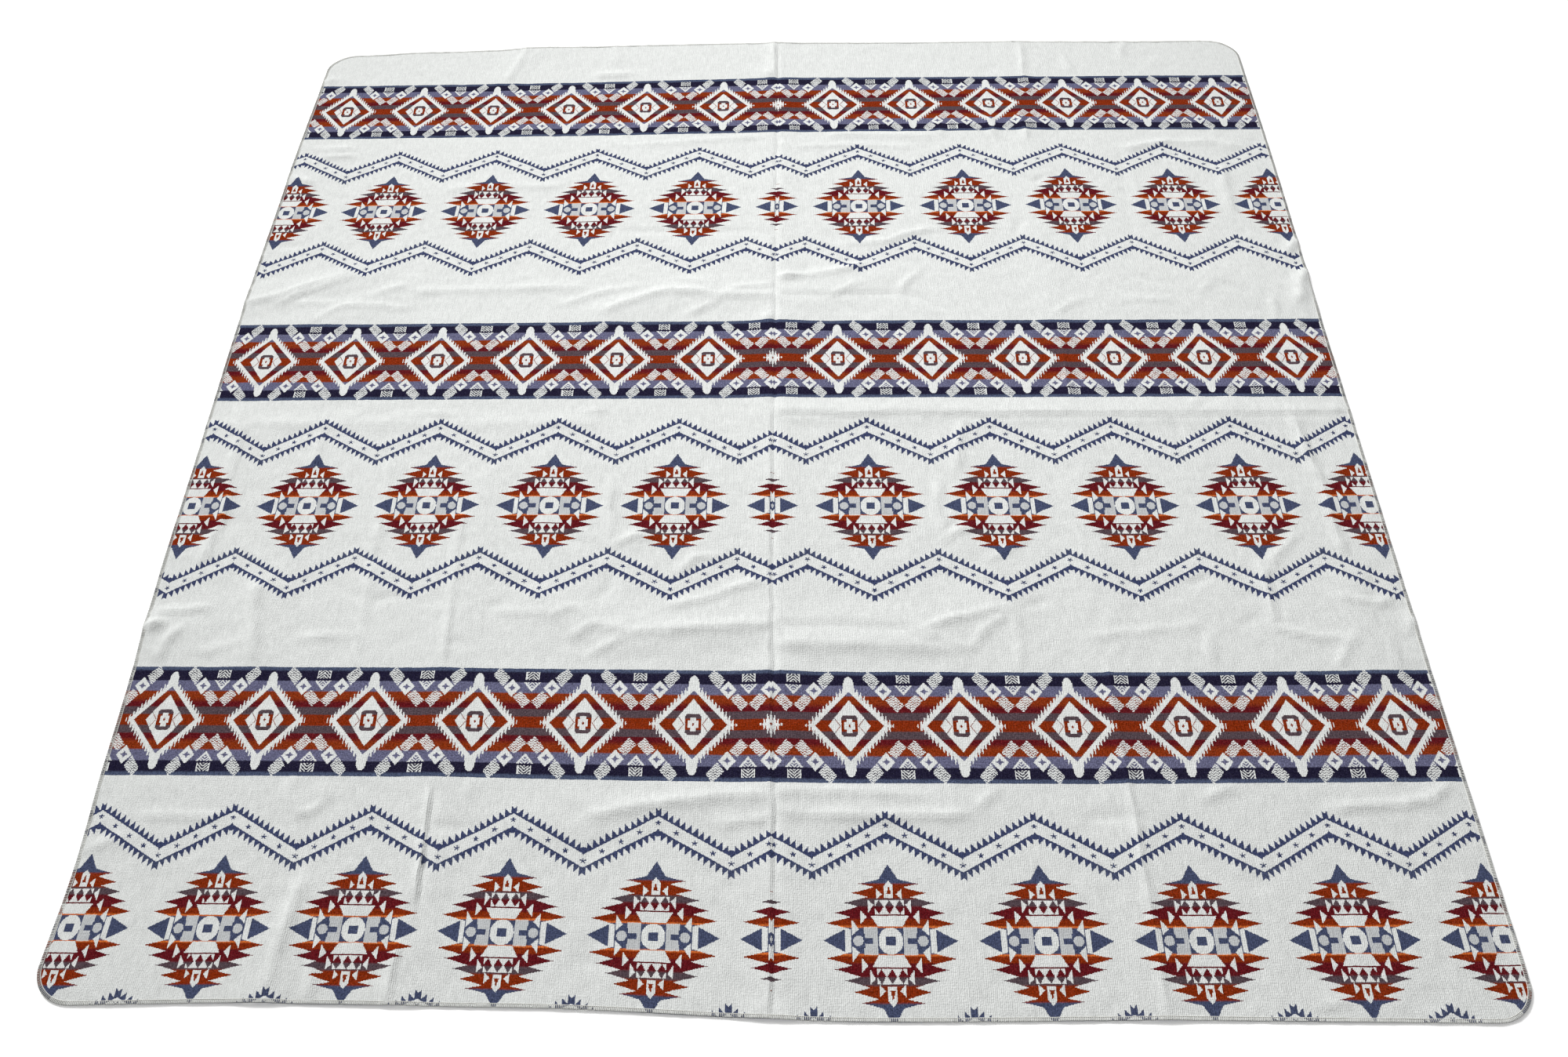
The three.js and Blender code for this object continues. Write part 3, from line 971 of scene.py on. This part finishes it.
def medallion_figures(tree, cell, x, y):
    """A medallion: pointed rows stepped up to an arrow head, with white blades and panels let in."""
    figure = lay(
        tree,
        *(spike(tree, x, y, *row) for row in SPIKES),
        patch(tree, cell, (0, 88), (15.5, 92), (0, 120.5)),
        patch(tree, cell, (61.5, 0), (92, 0), (61.5, 17.5)),
        patch(tree, cell, (37, 0), (37, 20.6), (48, 20.6), (53.4, 4), (53.4, 0)),
    )
    figure = cut(tree, figure, *(patch(tree, cell, *blade, bare=True) for blade in BLADES))
    corner = cut(
        tree,
        patch(tree, cell, (0, 0), (17.5, 0), (17.5, 20.8), (0, 20.8)),
        oval(tree, cell, (0, 0), (16.8, 20.2), bare=True),
    )
    figure = lay(
        tree, figure, corner,
        patch(tree, cell, (34.3, 0), (37, 20.8), (40, 20.8), (40, 0)),
        patch(tree, cell, (52.7, 0), (54.1, 0), (54.1, 18), (52.7, 18)),
    )
    figure = cut(tree, figure, oval(tree, cell, (44, 0), (7, 8), bare=True))
    lozenge = add(tree, "Math", x, LOZENGE_HALF_PITCH, operation="PINGPONG")
    off = away_from(tree, y, LOZENGE_LEVEL)
    lozenge = add(tree, "Math", lozenge, LOZENGE_SLOPE, off, operation="MULTIPLY_ADD")
    lozenge = add(tree, "Math", LOZENGE_REACH, lozenge, operation="SUBTRACT")
    lozenge = cut(tree, lozenge, add(tree, "Math", LOZENGES_END, x, operation="SUBTRACT"))
    return lay(
        tree, figure, lozenge,
        patch(tree, cell, (0, 72), (3.6, 72), (0, 86)),
        patch(tree, cell, (23.7, 0), (35.8, 0), (35.8, 4.6), (23.7, 4.6)),
        patch(tree, cell, (0, 0), (7, 0), (7, 6.8), (0, 6.8)),
    )


def toothed_line(tree, run, rise):
    """A thin line with teeth on its outer side, broader at its start and with a bud at its end."""
    tooth = add(tree, "Math", run, ZIGZAG_TOOTH_PITCH / 2, operation="ADD")
    tooth = add(tree, "Math", tooth, ZIGZAG_TOOTH_PITCH, operation="WRAP", sockets={2: 0})
    tooth = add(tree, "Math", tooth, ZIGZAG_TOOTH_HEIGHT / ZIGZAG_TOOTH_PITCH, operation="MULTIPLY")
    start = add(tree, "Math", run, ZIGZAG_START, operation="LESS_THAN")
    start = add(tree, "Math", start, ZIGZAG_START_HEIGHT, operation="MULTIPLY")
    height = lay(tree, tooth, start, ZIGZAG_LINE)
    teeth = add(tree, "Math", height, rise, operation="SUBTRACT")
    teeth = cut(tree, teeth, add(tree, "Math", rise, ZIGZAG_LINE, operation="ADD"))
    bud = add(tree, "Math", run, MEDALLION_REPEAT / 2 - BUD_HALF, operation="SUBTRACT")
    bud = add(tree, "Math", bud, away_from(tree, rise, BUD_LEVEL), operation="SUBTRACT")
    return lay(tree, teeth, bud)


def zigzag_figures(tree, x, y):
    """The double toothed zigzag above and below a row of medallions, with a line of small stars."""
    rise = add(tree, "Math", x, ZIGZAG_SLOPE, y, operation="MULTIPLY_ADD")
    rise = add(tree, "Math", rise, ZIGZAG_PEAK, operation="SUBTRACT")
    outer = toothed_line(tree, x, rise)
    back = add(tree, "Math", MEDALLION_REPEAT / 2, x, operation="SUBTRACT")
    inner = toothed_line(tree, back, add(tree, "Math", -ZIGZAG_GAP, rise, operation="SUBTRACT"))
    pitch = MEDALLION_REPEAT / SMALL_STARS
    star_x = add(tree, "Math", x, pitch / 2, -pitch / 2, operation="WRAP")
    star_y = add(tree, "Math", star_x, -ZIGZAG_SLOPE, rise, operation="MULTIPLY_ADD")
    star_y = add(tree, "Math", star_y, ZIGZAG_GAP / 2, operation="ADD")
    turn = add(tree, "Math", star_x, star_y, operation="ARCTAN2")
    points = add(tree, "Math", turn, SMALL_STAR_POINTS, operation="MULTIPLY")
    points = add(tree, "Math", points, operation="COSINE")
    arm = add(tree, "Math", points, SMALL_STAR_DEPTH, SMALL_STAR_ARM, operation="MULTIPLY_ADD")
    away = add(tree, "VectorMath", add(tree, "CombineXYZ", star_x, star_y), operation="LENGTH")
    return lay(tree, outer, inner, add(tree, "Math", arm, away, operation="SUBTRACT"))


def motif_cell(tree, across, down, row, repeat):
    """Places in a motif that is mirrored both ways: across and down from its middle, then both with a 1."""
    x = add(tree, "Math", across, repeat / 2, operation="PINGPONG")
    y = add(tree, "Math", down, row, operation="SUBTRACT")
    y = add(tree, "Math", y, ROW_PITCH / 2, operation="PINGPONG")
    return x, y, add(tree, "CombineXYZ", x, y, 1)


def band_pattern(tree, across, down, colours):
    """The bands: their figures, their weft's colour, and a measure that is above zero inside them."""
    x, y, cell = motif_cell(tree, across, down, BAND_ROW, DIAMOND_REPEAT)
    figure = diamond_figures(tree, cell, x)
    x = add(tree, "Math", DIAMOND_REPEAT / 2, x, operation="SUBTRACT")
    cell = add(tree, "CombineXYZ", x, y, 1)
    figure = ribbon_figures(tree, cell, x, y, figure)
    inside = add(tree, "Math", BAND_HALF, y, operation="SUBTRACT")
    return cut(tree, figure, inside), weft_colours(tree, y, BAND_WEFTS, colours), inside


def medallion_pattern(tree, across, down, colours):
    """The medallions and zigzags: their figures, their weft's colour, and where the two yarns mix."""
    x, y, cell = motif_cell(tree, across, down, MEDALLION_ROW, MEDALLION_REPEAT)
    figure = lay(tree, medallion_figures(tree, cell, x, y), zigzag_figures(tree, x, y))
    mixed = lay(
        tree,
        patch(tree, cell, (17.5, 0), (37.5, 0), (37.5, 20.6), (17.5, 20.6)),
        oval(tree, cell, (44, 0), (7, 8)),
    )
    return figure, weft_colours(tree, y, MEDALLION_WEFTS, colours), mixed


def pattern_group(sizes, colours):
    """The woven pattern on the cloth's own measure: how much weft shows on the face, and its colour with
    painted shade of the weave's crossings.
    """
    tree = bpy.data.node_groups.new("woven pattern", "ShaderNodeTree")
    tree.interface.new_socket("Weft shows", in_out="OUTPUT", socket_type="NodeSocketFloat")
    tree.interface.new_socket("Weft colour and painted shade", in_out="OUTPUT", socket_type="NodeSocketColor")
    weave = add(tree, "UVMap", uv_map="Weave")
    weave = add(tree, "VectorMath", weave, sockets={"Scale": 1 / MM}, operation="SCALE")
    # Yarns wander by part of a thread, then each thread crossing shows one colour
    wandering = {"Scale": YARN_WANDERS, "Detail": 1.0}
    wobble = add(tree, "TexNoise", weave, sockets=wandering, noise_dimensions="2D").node
    wander_by = (YARN_WANDER, YARN_WANDER, 0)
    wobble = add(tree, "VectorMath", wobble.outputs["Color"], wander_by, weave, operation="MULTIPLY_ADD")
    threads = (sizes.end / MM, sizes.pick / MM, 1)
    crossing = add(tree, "VectorMath", wobble, threads, operation="SNAP")
    parts = add(tree, "SeparateXYZ", crossing).node
    across = add(tree, "Math", parts.outputs["X"], operation="ABSOLUTE")
    across = add(tree, "Math", across, MIRROR_SKIP, operation="ADD")
    band, band_weft, in_band = band_pattern(tree, across, parts.outputs["Y"], colours)
    row, row_weft, mixed = medallion_pattern(tree, across, parts.outputs["Y"], colours)
    shows = add(tree, "Math", lay(tree, band, row), 0, operation="GREATER_THAN")
    mixed = add(tree, "Math", mixed, 0, operation="GREATER_THAN")
    shows = lay(tree, shows, add(tree, "Math", mixed, MIXED_SHARE, operation="MULTIPLY"))
    # Here and there a yarn of the other face peeps through
    chance = add(tree, "TexWhiteNoise", crossing, noise_dimensions="2D")
    peep = add(tree, "MapRange", chance, sockets={"From Min": PEEPS_FROM, "To Max": PEEP_SHARE})
    other = add(tree, "Math", 1, shows, operation="SUBTRACT")
    shows = add(tree, "Mix", peep, shows, other)
    near_band = add(tree, "Math", in_band, -1, operation="GREATER_THAN")
    colour = add(tree, "Mix", near_band, row_weft, band_weft, data_type="RGBA")
    # The weft is painted darker and lighter from one crossing to the next: partly uneven tone, partly
    # painted shade of the weave
    speckle_and_weave_shade = add(tree, "TexNoise", weave, sockets={"Scale": SPECKLES, "Detail": 1.0}, noise_dimensions="2D")
    speckle_and_weave_shade = add(tree, "Math", speckle_and_weave_shade, SPECKLE_RANGE, SPECKLE_DARKEST, operation="MULTIPLY_ADD")
    speckle_and_weave_shade = add(tree, "Math", chance, CROSSING_RANGE, speckle_and_weave_shade, operation="MULTIPLY_ADD")
    colour = add(tree, "VectorMath", colour, sockets={"Scale": speckle_and_weave_shade}, operation="SCALE")
    add(tree, "NodeGroupOutput", shows, colour)
    return tree


def yarn_group(sizes):
    """The surface of the wool: how light each place is, with painted shade where its ribs, rows and nap
    stand lower, and how high it stands, from ribs, rows and nap.
    """
    tree = bpy.data.node_groups.new("brushed wool yarn with painted shade", "ShaderNodeTree")
    tree.interface.new_socket("Shade", in_out="OUTPUT", socket_type="NodeSocketFloat")
    tree.interface.new_socket("Height", in_out="OUTPUT", socket_type="NodeSocketFloat")
    weave = add(tree, "UVMap", uv_map="Weave")
    # Neither ribs nor rows are quite even, so each drifts by part of a thread
    turns = (math.pi / sizes.end, math.pi / sizes.pick, 0)
    waves = add(tree, "VectorMath", weave, turns, operation="MULTIPLY")
    drift = add(tree, "TexNoise", weave, sockets={"Scale": DRIFTS, "Detail": 1.0}, noise_dimensions="2D")
    drift = drift.node.outputs["Color"]
    waves = add(tree, "VectorMath", drift, DRIFT_TURNS, waves, operation="MULTIPLY_ADD")
    waves = add(tree, "VectorMath", waves, operation="COSINE")
    ribs = add(tree, "VectorMath", waves, RIBS_AND_ROWS, operation="DOT_PRODUCT")
    nap = add(tree, "TexNoise", weave, sockets={"Scale": NAP_TUFTS, "Detail": 3.0}, noise_dimensions="2D")
    height = add(tree, "Math", nap, NAP_HEIGHT, ribs, operation="MULTIPLY_ADD")
    stretched = add(tree, "VectorMath", weave, SLUBS, operation="MULTIPLY")
    slub = add(tree, "TexNoise", stretched, sockets={"Scale": 1.0, "Detail": 2.0}, noise_dimensions="2D")
    cloud = add(tree, "TexNoise", weave, sockets={"Scale": CLOUDS, "Detail": 2.0}, noise_dimensions="2D")
    # Painted shade: ribs, rows and nap make the wool darker where they stand lower, while slubs and clouds
    # vary its tone
    shade = add(tree, "Math", ribs, RIB_PAINTED_SHADE, DEEPEST_SHADE, operation="MULTIPLY_ADD")
    for part, share in ((nap, NAP_PAINTED_SHADE), (slub, SLUB_SHADE), (cloud, CLOUD_SHADE)):
        shade = add(tree, "Math", part, share, shade, operation="MULTIPLY_ADD")
    add(tree, "NodeGroupOutput", shade, height)
    return tree


def new_material(name, **constants):
    """A material with its tree, its Principled shader and constants on the shader's sockets."""
    material = bpy.data.materials.new(name)
    material.use_nodes = True
    shader = material.node_tree.nodes["Principled BSDF"]
    for socket, value in constants.items():
        shader.inputs[socket.replace("_", " ")].default_value = value
    return material, material.node_tree, shader


def cloth_materials(sizes, colours):
    """The face, the reverse and the cut edge of the double cloth.

    Wool jacquard double cloth, woven from soft yarn and lightly brushed. Where the face shows its white
    warp the reverse shows the coloured weft, so the reverse is the face's negative. Matt and faintly
    downy, with narrow warp ribs. The edge is cut yarn ends, so it shows both colours.
    """
    pattern = pattern_group(sizes, colours)
    yarn = yarn_group(sizes)
    made = []
    for name in ("wool double cloth face", "wool double cloth reverse", "wool cut edge"):
        material, tree, shader = new_material(
            name, Roughness=1.0, Specular_IOR_Level=0.0, Sheen_Weight=0.04, Sheen_Roughness=0.3
        )
        shows = add(tree, "Group", node_tree=pattern)
        weft = shows.node.outputs["Weft colour and painted shade"]
        if name.endswith("reverse"):
            shows = add(tree, "Math", 1, shows, operation="SUBTRACT")
        if name.endswith("edge"):
            place_on = add(tree, "TexCoord").node.outputs["Object"]
            patches = add(tree, "TexNoise", place_on, sockets={"Scale": EDGE_PATCHES, "Detail": 1.0})
            ends = {"From Min": 0.48, "From Max": 0.58, "To Max": 0.9}
            shows = add(tree, "MapRange", patches, sockets=ends)
        colour = add(tree, "Mix", shows, (*colours.ground, 1), weft, data_type="RGBA")
        shade = add(tree, "Group", node_tree=yarn)
        colour = add(tree, "VectorMath", colour, sockets={"Scale": shade}, operation="SCALE")
        tree.links.new(colour, shader.inputs["Base Color"])
        relief = {"Height": shade.node.outputs["Height"], "Distance": YARN_RELIEF, "Strength": 0.7}
        tree.links.new(add(tree, "Bump", sockets=relief), shader.inputs["Normal"])
        made.append(material)
    return made


def thread_material(colours):
    """Overlock thread, spun from staple fibre: matt and soft, with a fine uneven fuzz of light and shade."""
    material, tree, shader = new_material(
        "spun overlock thread", Roughness=0.8, Specular_IOR_Level=0.3, Sheen_Weight=0.1, Sheen_Roughness=0.5
    )
    place_on = add(tree, "TexCoord").node.outputs["Object"]
    fibres = add(tree, "TexNoise", place_on, sockets={"Scale": THREAD_FUZZ, "Detail": 2.0})
    shade = add(tree, "MapRange", fibres, sockets={"To Min": 0.7, "To Max": 1.25})
    colour = add(tree, "VectorMath", tuple(colours.thread), sockets={"Scale": shade}, operation="SCALE")
    tree.links.new(colour, shader.inputs["Base Color"])
    bump = add(tree, "Bump", sockets={"Height": fibres, "Distance": THREAD_RELIEF, "Strength": 0.5})
    tree.links.new(bump, shader.inputs["Normal"])
    return material


def floor_material(look):
    """Seamless studio paper: matt white with a faint mottle. A little light of its own keeps it pale."""
    material, tree, shader = new_material(
        "seamless studio paper", Roughness=0.9, Specular_IOR_Level=0.2, Emission_Strength=0.3
    )
    place_on = add(tree, "TexCoord").node.outputs["Object"]
    mottle = add(tree, "TexNoise", place_on, sockets={"Scale": FLOOR_MOTTLE, "Detail": 4.0})
    shade = add(tree, "MapRange", mottle, sockets={"To Min": 0.985, "To Max": 1.01})
    colour = add(tree, "VectorMath", tuple(look.floor), sockets={"Scale": shade}, operation="SCALE")
    tree.links.new(colour, shader.inputs["Base Color"])
    shader.inputs["Emission Color"].default_value = (1, 1, 1, 1)
    return material


class BLANKET_OT_cloth(bpy.types.Operator):
    """Build the woven cloth with its folds and creases"""

    bl_idname = "blanket.cloth"
    bl_label = "Cloth"

    def execute(self, context):
        sizes, colours = context.scene.blanket_sizes, context.scene.blanket_colours
        cloth = add_object("cloth", cloth_mesh(sizes), *cloth_materials(sizes, colours))
        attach(cloth, "root")
        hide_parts("blanket")
        return {"FINISHED"}


class BLANKET_OT_overlock(bpy.types.Operator):
    bl_idname = "blanket.overlock"
    bl_label = "Overlocked edge"

    def execute(self, context):
        sizes, colours = context.scene.blanket_sizes, context.scene.blanket_colours
        overlock = add_object("overlock", overlock_mesh(sizes), thread_material(colours))
        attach(overlock, "root")
        return {"FINISHED"}


class BLANKET_OT_stage(bpy.types.Operator):
    """Set the pale floor, the soft lights and the camera"""

    bl_idname = "blanket.stage"
    bl_label = "Stage"

    def execute(self, context):
        look = context.scene.stage_look
        bm = bmesh.new()
        bmesh.ops.create_grid(bm, x_segments=4, y_segments=4, size=look.floor_size / 2)
        bmesh.ops.translate(bm, verts=bm.verts, vec=(0, 0, -FLOOR_DROP))
        mesh = bpy.data.meshes.new("floor")
        bm.to_mesh(mesh)
        bm.free()
        add_object("floor", mesh, floor_material(look))

        world = bpy.data.worlds.new("white room")
        world.use_nodes = True
        world.node_tree.nodes["Background"].inputs["Color"].default_value = (1, 1, 1, 1)
        world.node_tree.nodes["Background"].inputs["Strength"].default_value = look.sky
        context.scene.world = world

        window = bpy.data.lights.new("window", "SUN")
        window.energy = look.window
        window.angle = math.radians(WINDOW_SOFTNESS)
        add_object("window", window).rotation_euler = [math.radians(turn) for turn in WINDOW_TURN]

        softbox = bpy.data.lights.new("softbox", "AREA")
        softbox.energy = look.softbox
        softbox.size = SOFTBOX_SIDE
        lamp = add_object("softbox", softbox)
        lamp.location = SOFTBOX_PLACE
        lamp.rotation_euler = Vector(SOFTBOX_AIM).to_track_quat("-Z", "Y").to_euler()

        camera = bpy.data.cameras.new("camera")
        camera.sensor_width = 36
        camera.lens = CAMERA_LENS
        seen_by = add_object("camera", camera)
        seen_by.location = CAMERA_PLACE
        seen_by.rotation_euler = [math.radians(turn) for turn in CAMERA_TURN]
        context.scene.camera = seen_by
        context.scene.view_settings.view_transform = "Standard"
        return {"FINISHED"}


class BLANKET_PT_panel(bpy.types.Panel):
    """Sizes, colours and the steps that build the blanket"""

    bl_label = "Wool blanket"
    bl_space_type = "VIEW_3D"
    bl_region_type = "UI"
    bl_category = "Blanket"

    def draw(self, context):
        for group in (context.scene.blanket_sizes, context.scene.blanket_colours, context.scene.stage_look):
            box = self.layout.box()
            for name in group.bl_rna.properties.keys():
                if name not in ("rna_type", "name"):
                    box.prop(group, name)
        for operator in (BLANKET_OT_cloth, BLANKET_OT_overlock, BLANKET_OT_stage):
            self.layout.operator(operator.bl_idname)


CLASSES = (
    BlanketSizes, BlanketColours, StageLook,
    BLANKET_OT_cloth, BLANKET_OT_overlock, BLANKET_OT_stage, BLANKET_PT_panel,
)


def register():
    for cls in CLASSES:
        bpy.utils.register_class(cls)
    bpy.types.Scene.blanket_sizes = PointerProperty(type=BlanketSizes)
    bpy.types.Scene.blanket_colours = PointerProperty(type=BlanketColours)
    bpy.types.Scene.stage_look = PointerProperty(type=StageLook)


def unregister():
    del bpy.types.Scene.stage_look
    del bpy.types.Scene.blanket_colours
    del bpy.types.Scene.blanket_sizes
    for cls in reversed(CLASSES):
        bpy.utils.unregister_class(cls)


def main():
    """Build everything in order."""
    register()
    bpy.ops.blanket.cloth()
    bpy.ops.blanket.overlock()
    bpy.ops.blanket.stage()


if __name__ == "__main__":
    main()
